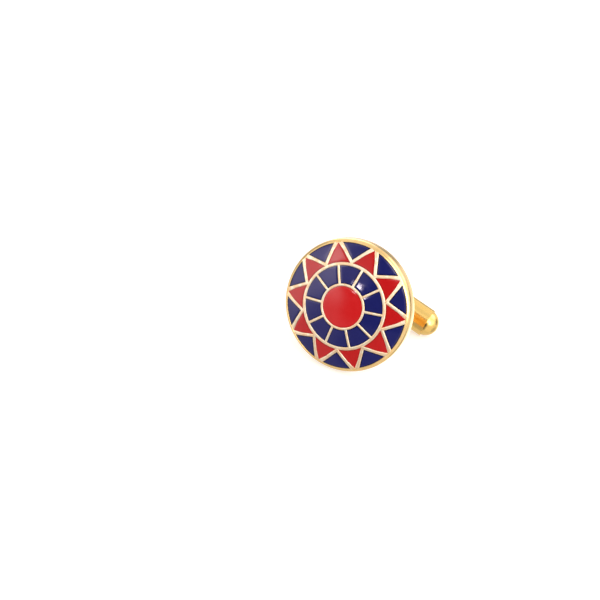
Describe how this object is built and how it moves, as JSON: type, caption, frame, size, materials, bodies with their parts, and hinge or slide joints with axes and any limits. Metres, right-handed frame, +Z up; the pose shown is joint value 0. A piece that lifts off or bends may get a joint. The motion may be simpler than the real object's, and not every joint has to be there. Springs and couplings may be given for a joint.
{
  "type": "cufflink",
  "caption": "Round domed cufflink with a fired enamel star in gilt cells, a forked post and a swivelling bullet bar.",
  "frame": {"origin": "on the table, under the middle of the box of the whole cufflink as it lies at rest", "axes": "+Z up from the table; the face looks towards -Y and upwards; the end of the bar that touches the table points towards +X"},
  "size_m": [0.018, 0.0198, 0.0173],
  "materials": {
    "gilt_head": "polished gilt brass, satin in the dished back",
    "gilt_fittings": "polished gilt brass",
    "gilt_solder": "solder under the gilding, slightly uneven",
    "red_enamel": "opaque red fired enamel, polished",
    "navy_enamel": "dark navy fired enamel, polished",
    "spring_steel": "spring strip"
  },
  "bodies": {
    "head": {"face_plate": "gilt_head", "centre_enamel": "red_enamel", "inner_enamel_1": "navy_enamel", "inner_enamel_2": "navy_enamel", "inner_enamel_3": "navy_enamel", "inner_enamel_4": "navy_enamel", "inner_enamel_5": "navy_enamel", "inner_enamel_6": "navy_enamel", "inner_enamel_7": "navy_enamel", "inner_enamel_8": "navy_enamel", "inner_enamel_9": "navy_enamel", "inner_enamel_10": "navy_enamel", "ray_enamel_1": "red_enamel", "ray_enamel_2": "red_enamel", "ray_enamel_3": "red_enamel", "ray_enamel_4": "red_enamel", "ray_enamel_5": "red_enamel", "ray_enamel_6": "red_enamel", "ray_enamel_7": "red_enamel", "ray_enamel_8": "red_enamel", "ray_enamel_9": "red_enamel", "ray_enamel_10": "red_enamel", "border_enamel_1": "navy_enamel", "border_enamel_2": "navy_enamel", "border_enamel_3": "navy_enamel", "border_enamel_4": "navy_enamel", "border_enamel_5": "navy_enamel", "border_enamel_6": "navy_enamel", "border_enamel_7": "navy_enamel", "border_enamel_8": "navy_enamel", "border_enamel_9": "navy_enamel", "border_enamel_10": "navy_enamel", "fork_post": "gilt_fittings", "solder_bead": "gilt_solder", "pivot_rivet": "gilt_fittings"},
    "toggle": {"bar_tube": "gilt_fittings", "end_plug_left": "gilt_fittings", "end_plug_right": "gilt_fittings", "detent_spring_upper": "spring_steel", "detent_spring_lower": "spring_steel"}
  },
  "joints": [
    {"name": "toggle_swivel", "type": "hinge", "parent": "head", "child": "toggle", "pos_m": [-0.00009, 0.00696, 0.00345], "axis": [0.231, 0.3418, 0.911], "continuous": true}
  ]
}
